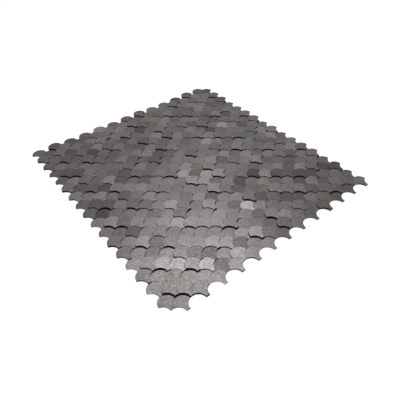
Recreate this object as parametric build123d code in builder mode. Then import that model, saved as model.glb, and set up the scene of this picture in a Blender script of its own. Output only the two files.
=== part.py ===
from build123d import *
import os

# A self-adhesive mosaic tile: fish-scale chips on one sheet of adhesive film.
# The sheet lies flat with the film on the floor. Rows run along X, the round
# heads of the chips point to +Y, and the origin is under the middle of the sheet.

# Driving dimensions of one chip, in millimetres
head_radius = 9.0        # round head, and the two hollows that take the neighbours' heads
horn_width = 4.0         # blunt foot between the two hollows
joint = 0.2              # open joint between neighbouring chips

# Driving dimensions of the sheet, in millimetres
columns = 13             # chips in a row
rows = 34                # rows, every other one shifted by half a chip
film_thickness = 0.4     # adhesive film with its peel-off liner
film_inset = 0.3         # how far the film stays back from the edge of the chip pattern
low_chip_height = 0.6
middle_chip_height = 1.6
high_chip_height = 2.6

# Heights of the chips: l low, m middle, h high. The pattern is laid in three kinds of
# block, each of four rows, written here from the foot side up.
block_a = ["lhllmlmhllmhm", "hlmlmhllmlhml", "lmhmmllhllmlm", "lmhhlllmlhmlh"]
block_b = ["mhhhmhllmmlml", "hlhmhmllhmhhl", "lmhlhllhllhlm", "lmmhmllllhllh"]
block_c = ["mhhmlhlllmlll", "mmhhllmlhllmh", "hhmlhlhlmllmm", "lhlmmllllhllm"]

# The sheet cuts through a block at its foot and at its head, so that the blocks run on
# into the next sheet.
height_rows = block_c[3:] + 2 * (block_a + block_b + block_c) + block_a + block_c + block_a[:1]

# Sizes that follow from the ones above
pitch = 2 * head_radius + horn_width
row_step = head_radius
sheet_width = (columns + 0.5) * pitch - horn_width
sheet_length = (rows + 1) * row_step
first_x = -sheet_width / 2 + head_radius
first_y = -sheet_length / 2 + row_step


def chip_place(column, row):
    """Centre of a chip's head; the first row and every second one after it are shifted."""
    shift = pitch / 2 if row % 2 == 0 else 0
    return (first_x + shift + column * pitch, first_y + row * row_step)


def chip_height(column, row):
    """Letter of the height of one chip; a larger sheet repeats the rows and the columns."""
    letters = height_rows[row % len(height_rows)]
    return letters[column % len(letters)]


def chip_outline(inset):
    """A round head on a square body, less the heads of the three chips below it."""
    with BuildSketch() as outline:
        Circle(head_radius - inset)
        Rectangle(
            2 * (head_radius - inset),
            row_step + head_radius / 2,
            align=(Align.CENTER, Align.MAX),
        )
        with Locations((-pitch / 2, -row_step), (pitch / 2, -row_step), (0, -2 * row_step)):
            Circle(head_radius + inset, mode=Mode.SUBTRACT)
    return outline.sketch


chip_positions = [(column, row) for row in range(rows) for column in range(columns)]

# Adhesive film: one sheet, die-cut along the outer chips. It is a blank less the
# places of the chips that a larger sheet would have around this one.
places_around = [
    chip_place(column, row)
    for row in range(-2, rows + 2)
    for column in range(-1, columns + 1)
    if (column, row) not in chip_positions
]
with BuildPart() as adhesive_film:
    with BuildSketch():
        Rectangle(sheet_width - 2 * film_inset, sheet_length + row_step)
        with Locations(*places_around):
            add(chip_outline(-film_inset), mode=Mode.SUBTRACT)
    extrude(amount=film_thickness)
adhesive_film.part.label = "adhesive_film"


def chips_of_height(letter, height):
    """All the chips of one height, as separate solids that stand on the film."""
    places = [chip_place(column, row) for column, row in chip_positions
              if chip_height(column, row) == letter]
    with BuildPart() as chips:
        with BuildSketch(Plane.XY.offset(film_thickness)):
            with Locations(*places):
                add(chip_outline(joint / 2))
        extrude(amount=height)
    return chips


low_chips = chips_of_height("l", low_chip_height)
low_chips.part.label = "low_chips"

middle_chips = chips_of_height("m", middle_chip_height)
middle_chips.part.label = "middle_chips"

high_chips = chips_of_height("h", high_chip_height)
high_chips.part.label = "high_chips"

os.makedirs("parts", exist_ok=True)
export_step(adhesive_film.part, "parts/adhesive_film.step")
export_step(low_chips.part, "parts/low_chips.step")
export_step(middle_chips.part, "parts/middle_chips.step")
export_step(high_chips.part, "parts/high_chips.step")
print("sheet", sheet_width, "by", sheet_length, "mm,", len(chip_positions), "chips")
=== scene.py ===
# %% [markdown]
# # A self-adhesive mosaic tile of fish-scale chips
#
# The object is one flat sheet, about 29 by 31 cm, that is stuck to a wall. Small stone-look
# chips of hard plastic stand on a thin adhesive film. Every chip has a round head, two hollows
# that take the heads of its neighbours, and a blunt horn between them, so that all the chips
# lock together like scales. The chips come in three heights, and every chip has its own grey.
#
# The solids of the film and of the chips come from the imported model. This file dresses them:
# the film gets its finish, and the chips are made again with rounded edges and their stone look.

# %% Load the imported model
import math

import bpy
import numpy as np
from mathutils import Matrix, Vector


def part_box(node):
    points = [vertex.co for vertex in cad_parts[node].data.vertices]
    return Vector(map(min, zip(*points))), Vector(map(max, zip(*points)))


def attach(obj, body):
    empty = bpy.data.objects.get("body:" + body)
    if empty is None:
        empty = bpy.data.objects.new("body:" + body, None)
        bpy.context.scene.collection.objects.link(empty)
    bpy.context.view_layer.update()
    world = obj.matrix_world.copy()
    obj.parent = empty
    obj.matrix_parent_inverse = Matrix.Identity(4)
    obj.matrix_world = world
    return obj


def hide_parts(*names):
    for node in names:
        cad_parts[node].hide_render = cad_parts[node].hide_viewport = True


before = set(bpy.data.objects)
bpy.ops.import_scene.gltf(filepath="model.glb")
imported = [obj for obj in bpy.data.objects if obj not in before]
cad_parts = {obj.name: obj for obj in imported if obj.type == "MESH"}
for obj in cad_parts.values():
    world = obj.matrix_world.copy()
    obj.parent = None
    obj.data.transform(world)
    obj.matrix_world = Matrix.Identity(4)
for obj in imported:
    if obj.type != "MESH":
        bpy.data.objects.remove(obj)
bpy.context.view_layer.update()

scene = bpy.context.scene
scene.view_settings.view_transform = "Standard"
print("CAD nodes:", ", ".join(sorted(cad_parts)))

# %% [markdown]
# ## The lattice of the chips
#
# Every place on the sheet follows from one chip: the heads touch the hollows of the next row,
# so the rows are one head radius apart, and a chip's width and its horn's width add up to the
# pitch. Every other row is shifted by half a pitch. Whole arrays hold all 442 places at once.

# %% Sizes of a chip and places of all the chips, in metres
head_radius = 0.009
horn_width = 0.004
joint = 0.0002
drawn_joint = 0.00008
columns = 13
rows = 34
pitch = 2 * head_radius + horn_width
row_step = head_radius

column_of, row_of = np.meshgrid(np.arange(columns), np.arange(rows))
column_of = column_of.ravel()
row_of = row_of.ravel()
sheet_width = (columns + 0.5) * pitch - horn_width
sheet_length = (rows + 1) * row_step
chip_x = -sheet_width / 2 + head_radius + pitch * (column_of + 0.5 * (row_of % 2 == 0))
chip_y = -sheet_length / 2 + row_step * (row_of + 1)
print("chips:", len(chip_x), "on", round(sheet_width, 4), "by", round(sheet_length, 4), "m")

# %% [markdown]
# ## Which chips are low, middle and high
#
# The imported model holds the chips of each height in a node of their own, so the model itself is
# asked which chips these are: a chip belongs to a node when the node has a corner just where
# the right end of that chip's head must be. This keeps the two files in step without a list.

# %% Ask each node which chips it holds
def corners_of(node):
    """All the corners of a CAD node's mesh, as an array with one row for each corner."""
    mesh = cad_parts[node].data
    corners = np.empty(len(mesh.vertices) * 3)
    mesh.vertices.foreach_get("co", corners)
    return corners.reshape(-1, 3)


def chips_in(node):
    """Numbers of the chips that a node holds: the smallest distance, in plan, from the right
    end of each head to any corner of the node is under a quarter of a joint."""
    corners = corners_of(node)[:, :2]
    head_ends = np.stack([chip_x + head_radius - joint / 2, chip_y], axis=1)
    nearest = [np.abs(corners - end).sum(axis=1).min() for end in head_ends]
    return np.flatnonzero(np.array(nearest) < joint / 4)


chip_nodes = ["low_chips", "middle_chips", "high_chips"]
members = {node: chips_in(node) for node in chip_nodes}

# %% [markdown]
# ## The outline of a chip
#
# The outline is made of four arcs of nearly one radius: the round head, the two hollows around
# the centres of the neighbours below, and the foot of the horn around the centre of the chip two
# rows below. Moving the outline inwards makes the head's circle smaller and the other circles
# larger, and the corners are where two circles meet. So one formula gives the outline at any
# inset, which is all that a rounded edge needs.

# %% The outline as a function of the inset
head_points = 11
hollow_points = 5
foot_points = 2


def circles_meet(centre_a, radius_a, centre_b, radius_b):
    """The crossing of two circles that lies to the left of the way from a to b: go along the
    line of centres as far as the common chord, then along half the chord."""
    way = centre_b - centre_a
    distance = np.hypot(*way)
    along = (distance**2 + radius_a**2 - radius_b**2) / (2 * distance)
    half_chord = math.sqrt(radius_a**2 - along**2)
    across = np.array([-way[1], way[0]])
    return centre_a + (along * way + half_chord * across) / distance


def arc(centre, radius, start, end, points):
    """Points on a circle from start to end, the last one left out for the next arc. The angle
    grows evenly, and the shorter way round is taken."""
    first = math.atan2(*(start - centre)[::-1])
    turn = (math.atan2(*(end - centre)[::-1]) - first + math.pi) % (2 * math.pi) - math.pi
    angles = first + turn * np.arange(points) / points
    return centre + radius * np.stack([np.cos(angles), np.sin(angles)], axis=1)


def chip_outline(inset):
    """Closed outline of a chip around the centre of its head, anticlockwise from the right end of
    the head: head, left hollow, foot, right hollow, each an arc between two crossings."""
    inner = head_radius - inset
    outer = head_radius + inset
    head = np.array([0.0, 0.0])
    right = np.array([pitch / 2, -row_step])
    left = right * [-1, 1]
    below = np.array([0.0, -2 * row_step])
    right_end = circles_meet(head, inner, right, outer)
    left_end = right_end * [-1, 1]
    right_foot = circles_meet(below, outer, right, outer)
    left_foot = right_foot * [-1, 1]
    top = head + [0, inner]
    return np.concatenate([
        arc(head, inner, right_end, top, head_points // 2),
        arc(head, inner, top, left_end, head_points // 2 + 1),
        arc(left, outer, left_end, left_foot, hollow_points),
        arc(below, outer, left_foot, right_foot, foot_points),
        arc(right, outer, right_foot, right_end, hollow_points),
    ])


print("points in an outline:", len(chip_outline(joint / 2)))

# %% [markdown]
# ## A chip as rings
#
# A chip could be a solid with a Bevel modifier, but 442 of them are lighter and more even as one
# joined mesh made by hand. Each chip is four rings of the same outline: the foot, the top of the
# wall, the middle of the rounded edge and the rim of the flat face. All chips of one height are
# computed at once by adding the chips' places to the rings of one chip.

# %% Build all the chips of one height
edge_round = 0.00012
tilt_spread = 0.006
most_tilt = 0.012
sharp_angle = math.radians(30)
rng = np.random.default_rng(34)
chip_tilt = rng.normal(0.0, tilt_spread, (len(chip_x), 2)).clip(-most_tilt, most_tilt)


def ring_heights(bottom, top):
    """Inset and height of each ring; the edge is a quarter circle taken in two steps."""
    half = edge_round * (1 - math.sqrt(0.5))
    insets = [drawn_joint / 2, drawn_joint / 2, drawn_joint / 2 + half, drawn_joint / 2 + edge_round]
    heights = [bottom, top - edge_round, top - half, top]
    return insets, heights


def make_chips(name, numbers, bottom, top):
    """Mesh of many chips. Corner (chip, ring, point) is the chip's place plus the outline at the
    ring's inset, at the ring's height, less a small tilt of the upper rings about the head."""
    insets, heights = ring_heights(bottom, top)
    outlines = np.stack([chip_outline(inset) for inset in insets])
    count, rings, points = len(numbers), len(insets), outlines.shape[1]
    corners = np.empty((count, rings, points, 3))
    corners[..., 0] = chip_x[numbers, None, None] + outlines[None, :, :, 0]
    corners[..., 1] = chip_y[numbers, None, None] + outlines[None, :, :, 1]
    corners[..., 2] = np.array(heights)[None, :, None]
    slope = np.einsum("cd,rpd->crp", chip_tilt[numbers], outlines)
    slope -= slope.max(axis=(1, 2), keepdims=True)
    corners[:, 1:, :, 2] += slope[:, 1:]

    index = np.arange(count * rings * points).reshape(count, rings, points)
    lower, upper = index[:, :-1], index[:, 1:]
    sides = np.stack([lower, np.roll(lower, -1, 2), np.roll(upper, -1, 2), upper], axis=-1)
    faces = sides.reshape(-1, 4).tolist()
    faces += index[:, -1].tolist()
    faces += index[:, 0, ::-1].tolist()
    mesh = bpy.data.meshes.new(name)
    mesh.from_pydata(corners.reshape(-1, 3).tolist(), [], faces)

    # The wall faces take the second material, which paints shade on the walls.
    wall = np.zeros((count, rings - 1, points), dtype=np.int32)
    wall[:, 0] = 1
    material_of_face = np.concatenate([wall.ravel(), np.zeros(count), np.ones(count)])
    mesh.polygons.foreach_set("material_index", material_of_face.astype(np.int32))
    mesh.set_sharp_from_angle(angle=sharp_angle)
    rounded = np.ones((count, rings - 1, points), dtype=bool)
    smooth = np.concatenate([rounded.ravel(), np.zeros(2 * count, dtype=bool)])
    mesh.polygons.foreach_set("use_smooth", smooth)

    each = np.repeat(numbers, rings * points)
    colour = mesh.attributes.new("chip_colour", "FLOAT_COLOR", "POINT")
    rgba = np.concatenate([chip_colour[each], np.ones((len(each), 1))], axis=1)
    colour.data.foreach_set("color", rgba.astype(np.float32).ravel())
    gloss = mesh.attributes.new("chip_gloss", "FLOAT", "POINT")
    gloss.data.foreach_set("value", chip_gloss[each].astype(np.float32))
    shift = mesh.attributes.new("stone_shift", "FLOAT_VECTOR", "POINT")
    shift.data.foreach_set("vector", stone_shift[each].astype(np.float32).ravel())
    mesh.update()
    piece = bpy.data.objects.new(name, mesh)
    scene.collection.objects.link(piece)
    return piece


print("steepest face:", round(math.degrees(np.hypot(*chip_tilt.T).max()), 2), "degrees")

# %% [markdown]
# ## The greys of the chips
#
# The chips are a mix of slate greys: most are a neutral or slightly pink grey, others are
# greenish, bluish, dark or pale. A short palette and a seeded draw give every chip a base grey,
# and a small change of brightness keeps two chips of one grey apart. A few chips that catch the
# eye have their grey and brightness given one by one, as row and column counted from the foot side.
# A paler chip also has more sheen. Colour and sheen are stored as attributes of the mesh, so one
# material serves all the chips.

# %% Draw a grey for every chip
palette = {
    "warm grey": ((0.094, 0.085, 0.082), 0.36),
    "pink grey": ((0.099, 0.086, 0.085), 0.24),
    "green grey": ((0.082, 0.081, 0.075), 0.17),
    "cool grey": ((0.075, 0.074, 0.078), 0.13),
    "dark slate": ((0.057, 0.053, 0.053), 0.08),
    "pale stone": ((0.147, 0.142, 0.136), 0.02),
}
placed_by_eye = [
    ("pale stone", 0.85, [(1, 4), (2, 2), (4, 1), (5, 1), (9, 9)]),
    ("pale stone", 0.85, [(13, 6), (13, 7), (14, 5), (19, 1), (21, 2)]),
    ("pale stone", 0.70, [(5, 9), (6, 8), (8, 6), (15, 3), (21, 4), (24, 1)]),
    ("dark slate", 1.00, [(4, 8), (6, 7), (8, 9), (9, 7), (10, 5), (20, 2), (21, 3), (21, 5)]),
    ("green grey", 0.95, [(0, 1), (1, 1), (2, 0), (3, 1), (5, 0)]),
    ("pink grey", 0.80, [(0, 0), (1, 0)]),
    ("pink grey", 1.00, [(3, 0), (3, 2), (4, 0)]),
    ("pink grey", 1.10, [(5, 7), (6, 4), (10, 2)]),
]
brightness_spread = 0.16
mean_gloss = 0.5

greys = np.array([grey for grey, share in palette.values()])
shares = np.array([share for grey, share in palette.values()])
draw = rng.choice(len(greys), size=len(chip_x), p=shares / shares.sum())
brightness = np.exp(rng.normal(0.0, brightness_spread, len(chip_x)))
for name, placed_brightness, chips in placed_by_eye:
    numbers = [row * columns + column for row, column in chips]
    draw[numbers] = list(palette).index(name)
    brightness[numbers] = placed_brightness
chip_colour = greys[draw] * brightness[:, None]
chip_gloss = mean_gloss * chip_colour.mean(axis=1) / chip_colour.mean()
stone_shift = rng.uniform(-1.0, 1.0, (len(chip_x), 3))
print("chips of each grey:", dict(zip(palette, np.bincount(draw, minlength=len(greys)).tolist())))

# %% [markdown]
# ## The stone look
#
# The chips' faces look like sanded slate: soft clouds a few millimetres wide, a fine dark speckle
# and a very fine grain that also roughens the surface, with duller and shinier patches. All are
# noise on the object's own coordinates, moved by a different amount on each chip so that no cloud
# runs over a joint. An image of slate would need an unwrapped chip and would repeat, and noise
# does neither.

# %% Material helpers
def new_material(name):
    """A node material with only its output and a Principled shader. Gives the material, its node
    tree and the shader."""
    material = bpy.data.materials.new(name)
    material.use_nodes = True
    tree = material.node_tree
    tree.nodes.clear()
    output = tree.nodes.new("ShaderNodeOutputMaterial")
    shader = tree.nodes.new("ShaderNodeBsdfPrincipled")
    tree.links.new(shader.outputs["BSDF"], output.inputs["Surface"])
    return material, tree, shader


def noise(tree, place, scale, detail):
    """Noise of a given scale, in cycles a metre, at a place."""
    node = tree.nodes.new("ShaderNodeTexNoise")
    node.inputs["Scale"].default_value = scale
    node.inputs["Detail"].default_value = detail
    tree.links.new(place, node.inputs["Vector"])
    return node.outputs["Fac"]


def ramp(tree, value, low, high, to_low, to_high):
    """Straight line from (low, to_low) to (high, to_high), held at its ends."""
    node = tree.nodes.new("ShaderNodeMapRange")
    tree.links.new(value, node.inputs["Value"])
    ends = {"From Min": low, "From Max": high, "To Min": to_low, "To Max": to_high}
    for name, number in ends.items():
        node.inputs[name].default_value = number
    return node.outputs["Result"]


usual_noise = (0.3, 0.7)


def mottle(tree, noise_value, limits):
    """Noise stretched from the values that it usually has to the given limits."""
    return ramp(tree, noise_value, *usual_noise, *limits)


def combine(tree, operation, first, second):
    """One Math node on two sockets."""
    node = tree.nodes.new("ShaderNodeMath")
    node.operation = operation
    tree.links.new(first, node.inputs[0])
    tree.links.new(second, node.inputs[1])
    return node.outputs[0]


print("noise is stretched from", usual_noise)

# %% The face of a chip
cloud_scale = 260.0
cloud_tone = (0.93, 1.07)
speckle_scale = 850.0
speckle_tone = (0.68, 1.32)
grain_scale = 2600.0
grain_tone = (0.88, 1.12)
dull_patch_scale = 420.0
face_roughness = (0.36, 0.46)
bump_strength = 0.25
bump_depth = 0.00008
sheen_tint = (1.0, 0.94, 0.925, 1.0)


def chip_face_material():
    """Chip grey, times clouds, speckle and grain, each a noise that runs evenly about one. The
    grain is also the bump, and the same product scales the chip's sheen."""
    material, tree, shader = new_material("slate_face")
    place = tree.nodes.new("ShaderNodeTexCoord")
    shift = tree.nodes.new("ShaderNodeAttribute")
    shift.attribute_name = "stone_shift"
    moved = tree.nodes.new("ShaderNodeVectorMath")
    moved.operation = "ADD"
    tree.links.new(place.outputs["Object"], moved.inputs[0])
    tree.links.new(shift.outputs["Vector"], moved.inputs[1])
    here = moved.outputs["Vector"]

    clouds = mottle(tree, noise(tree, here, cloud_scale, 3.0), cloud_tone)
    speckle = mottle(tree, noise(tree, here, speckle_scale, 2.0), speckle_tone)
    grain = noise(tree, here, grain_scale, 2.0)
    grains = mottle(tree, grain, grain_tone)
    tone = combine(tree, "MULTIPLY", combine(tree, "MULTIPLY", clouds, speckle), grains)

    grey = tree.nodes.new("ShaderNodeAttribute")
    grey.attribute_name = "chip_colour"
    scaled = tree.nodes.new("ShaderNodeVectorMath")
    scaled.operation = "SCALE"
    tree.links.new(grey.outputs["Color"], scaled.inputs[0])
    tree.links.new(tone, scaled.inputs["Scale"])
    tree.links.new(scaled.outputs["Vector"], shader.inputs["Base Color"])

    roughness = mottle(tree, noise(tree, here, dull_patch_scale, 1.0), face_roughness)
    tree.links.new(roughness, shader.inputs["Roughness"])
    gloss = tree.nodes.new("ShaderNodeAttribute")
    gloss.attribute_name = "chip_gloss"
    grainy_gloss = combine(tree, "MULTIPLY", gloss.outputs["Fac"], tone)
    tree.links.new(grainy_gloss, shader.inputs["Specular IOR Level"])
    shader.inputs["Specular Tint"].default_value = sheen_tint
    bump = tree.nodes.new("ShaderNodeBump")
    bump.inputs["Strength"].default_value = bump_strength
    bump.inputs["Distance"].default_value = bump_depth
    tree.links.new(grain, bump.inputs["Height"])
    tree.links.new(bump.outputs["Normal"], shader.inputs["Normal"])
    return material


slate_face = chip_face_material()
print("face material:", slate_face.name, "with", len(slate_face.node_tree.nodes), "nodes")

# %% [markdown]
# ## Painted shade on the walls
#
# The walls of the chips are coloured nearly black. This is painted shade: it draws the dark line of
# shade under every raised chip. A second material on the walls of the same mesh is simpler than a
# mask: each face already knows whether it is a wall.

# %% Painted shade on the walls of a chip
edge_mottle_scale = 700.0
# Painted shade: the wall colours are kept nearly black so that the step under a raised chip looks
# shaded.
painted_shade_dark = (0.014, 0.014, 0.014, 1.0)
painted_shade_pale = (0.038, 0.037, 0.036, 1.0)
edge_roughness = 0.7


def painted_shade_wall_material():
    """Nearly black with a faint mottle, painted shade for the walls; rough as a sawn edge is."""
    material, tree, shader = new_material("painted_shade_wall")
    place = tree.nodes.new("ShaderNodeTexCoord").outputs["Object"]
    tone = tree.nodes.new("ShaderNodeValToRGB")
    tree.links.new(noise(tree, place, edge_mottle_scale, 2.0), tone.inputs["Fac"])
    tone.color_ramp.elements[0].color = painted_shade_dark
    tone.color_ramp.elements[1].color = painted_shade_pale
    tree.links.new(tone.outputs["Color"], shader.inputs["Base Color"])
    shader.inputs["Roughness"].default_value = edge_roughness
    return material


painted_shade_wall = painted_shade_wall_material()
print("edge material:", painted_shade_wall.name)

# %% [markdown]
# ## The adhesive film
#
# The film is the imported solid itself: a thin pale sheet, cut back a little from the chips, with
# a smooth peel-off liner underneath. It shows only from below and as a thread of pale edge.

# %% The film's finish
film_mottle_scale = 60.0
film_dark = (0.66, 0.66, 0.64, 1.0)
film_pale = (0.76, 0.76, 0.74, 1.0)
film_roughness = 0.45


def film_material():
    """Pale film with a faint mottle, a little smoother than paper."""
    material, tree, shader = new_material("pale_film")
    place = tree.nodes.new("ShaderNodeTexCoord").outputs["Object"]
    tone = tree.nodes.new("ShaderNodeValToRGB")
    tree.links.new(noise(tree, place, film_mottle_scale, 3.0), tone.inputs["Fac"])
    tone.color_ramp.elements[0].color = film_dark
    tone.color_ramp.elements[1].color = film_pale
    tree.links.new(tone.outputs["Color"], shader.inputs["Base Color"])
    shader.inputs["Roughness"].default_value = film_roughness
    return material


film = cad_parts["adhesive_film"]
film.data.materials.clear()
film.data.materials.append(film_material())

# %% [markdown]
# ## The chips themselves
#
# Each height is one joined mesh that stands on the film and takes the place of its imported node.
# Copies of one chip object would be easier to make, but 442 objects are slower to handle, and a
# joined mesh carries each chip's colour just as well.

# %% Make the chips of all three heights
film_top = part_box("adhesive_film")[1].z
for node in chip_nodes:
    piece = make_chips(node.replace("_", "_stone_"), members[node], film_top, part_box(node)[1].z)
    piece.data.materials.append(slate_face)
    # The second material paints shade on the chips' walls.
    piece.data.materials.append(painted_shade_wall)
    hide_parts(node)
    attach(piece, "root")
    print(piece.name, len(piece.data.polygons), "faces")

# %% [markdown]
# ## The floor and the light
#
# The sheet lies on a white floor. One soft lamp hangs high over the far half of the sheet. It
# gives the satin sheen on the chips near the camera and leaves the walls that face the camera
# dark. A dim even sky fills the rest. Seen by the camera, floor and sky are nearly plain white,
# and the floor keeps a trace of shadow.

# %% Floor
floor_half = 3.0
floor_level = -0.0001
floor_white = (0.86, 0.86, 0.86, 1.0)
plain_light = 1.17
plain_share = 0.82


def floor_material():
    """White floor. For the camera, most of it is plain white light and the rest keeps the shadow:
    the share of plain light is a fixed number times one for a camera ray, zero for others."""
    material = bpy.data.materials.new("white_floor")
    material.use_nodes = True
    tree = material.node_tree
    tree.nodes.clear()
    output = tree.nodes.new("ShaderNodeOutputMaterial")
    matt = tree.nodes.new("ShaderNodeBsdfDiffuse")
    matt.inputs["Color"].default_value = floor_white
    plain = tree.nodes.new("ShaderNodeEmission")
    plain.inputs["Strength"].default_value = plain_light
    path = tree.nodes.new("ShaderNodeLightPath")
    share = tree.nodes.new("ShaderNodeMath")
    share.operation = "MULTIPLY"
    share.inputs[1].default_value = plain_share
    tree.links.new(path.outputs["Is Camera Ray"], share.inputs[0])
    mix = tree.nodes.new("ShaderNodeMixShader")
    tree.links.new(share.outputs[0], mix.inputs["Fac"])
    tree.links.new(matt.outputs["BSDF"], mix.inputs[1])
    tree.links.new(plain.outputs["Emission"], mix.inputs[2])
    tree.links.new(mix.outputs["Shader"], output.inputs["Surface"])
    return material


floor_mesh = bpy.data.meshes.new("floor")
floor_signs = ((-1, -1), (1, -1), (1, 1), (-1, 1))
floor_corners = [(x * floor_half, y * floor_half, floor_level) for x, y in floor_signs]
floor_mesh.from_pydata(floor_corners, [], [(0, 1, 2, 3)])
floor_mesh.materials.append(floor_material())
floor = bpy.data.objects.new("floor", floor_mesh)
scene.collection.objects.link(floor)
print("floor:", 2 * floor_half, "m square")

# %% Lamp and sky
lamp_place = (0.12, 0.15, 0.55)
lamp_target = (0.0, 0.0, 0.0)
lamp_size = 0.30
lamp_power = 4.75
sky_glow = 0.08
sky_white = 0.97


def aim(thing, target, roll=0.0):
    """Turns a lamp or camera so that it looks at a point, then rolls it about its view."""
    look = (Vector(target) - thing.location).to_track_quat("-Z", "Y").to_matrix()
    thing.rotation_euler = (look @ Matrix.Rotation(roll, 3, "Z")).to_euler()


lamp_data = bpy.data.lights.new("softbox", "AREA")
lamp_data.shape = "SQUARE"
lamp_data.size = lamp_size
lamp_data.energy = lamp_power
lamp = bpy.data.objects.new("softbox", lamp_data)
lamp.location = lamp_place
aim(lamp, lamp_target)
scene.collection.objects.link(lamp)

sky = bpy.data.worlds.new("studio")
sky.use_nodes = True
scene.world = sky
sky_tree = sky.node_tree
sky_tree.nodes.clear()
sky_output = sky_tree.nodes.new("ShaderNodeOutputWorld")
sky_light = sky_tree.nodes.new("ShaderNodeBackground")
sky_path = sky_tree.nodes.new("ShaderNodeLightPath")
sky_strength = ramp(sky_tree, sky_path.outputs["Is Camera Ray"], 0.0, 1.0, sky_glow, sky_white)
sky_tree.links.new(sky_strength, sky_light.inputs["Strength"])
sky_light.inputs["Color"].default_value = (1.0, 1.0, 1.0, 1.0)
sky_tree.links.new(sky_light.outputs["Background"], sky_output.inputs["Surface"])
print("lamp:", lamp_power, "W; sky:", sky_glow, "as light and", sky_white, "for the camera")

# %% [markdown]
# ## The camera
#
# The camera stands low over the near left corner of the sheet and looks across it, so that one
# corner points almost straight down the picture. It is turned a little about its view.

# %% Camera
camera_place = (-0.23737, -0.31590, 0.30966)
camera_target = (-0.02988, -0.05243, 0.0)
camera_roll = math.radians(-0.693)
picture_width = 400
focal_pixels = 400.5
sensor_width = 36.0

camera_data = bpy.data.cameras.new("camera")
camera_data.sensor_width = sensor_width
camera_data.lens = sensor_width * focal_pixels / picture_width
camera = bpy.data.objects.new("camera", camera_data)
camera.location = camera_place
aim(camera, camera_target, camera_roll)
scene.collection.objects.link(camera)
scene.camera = camera
print("lens:", round(camera_data.lens, 2), "mm, camera", round(camera.location.length, 3), "m away")
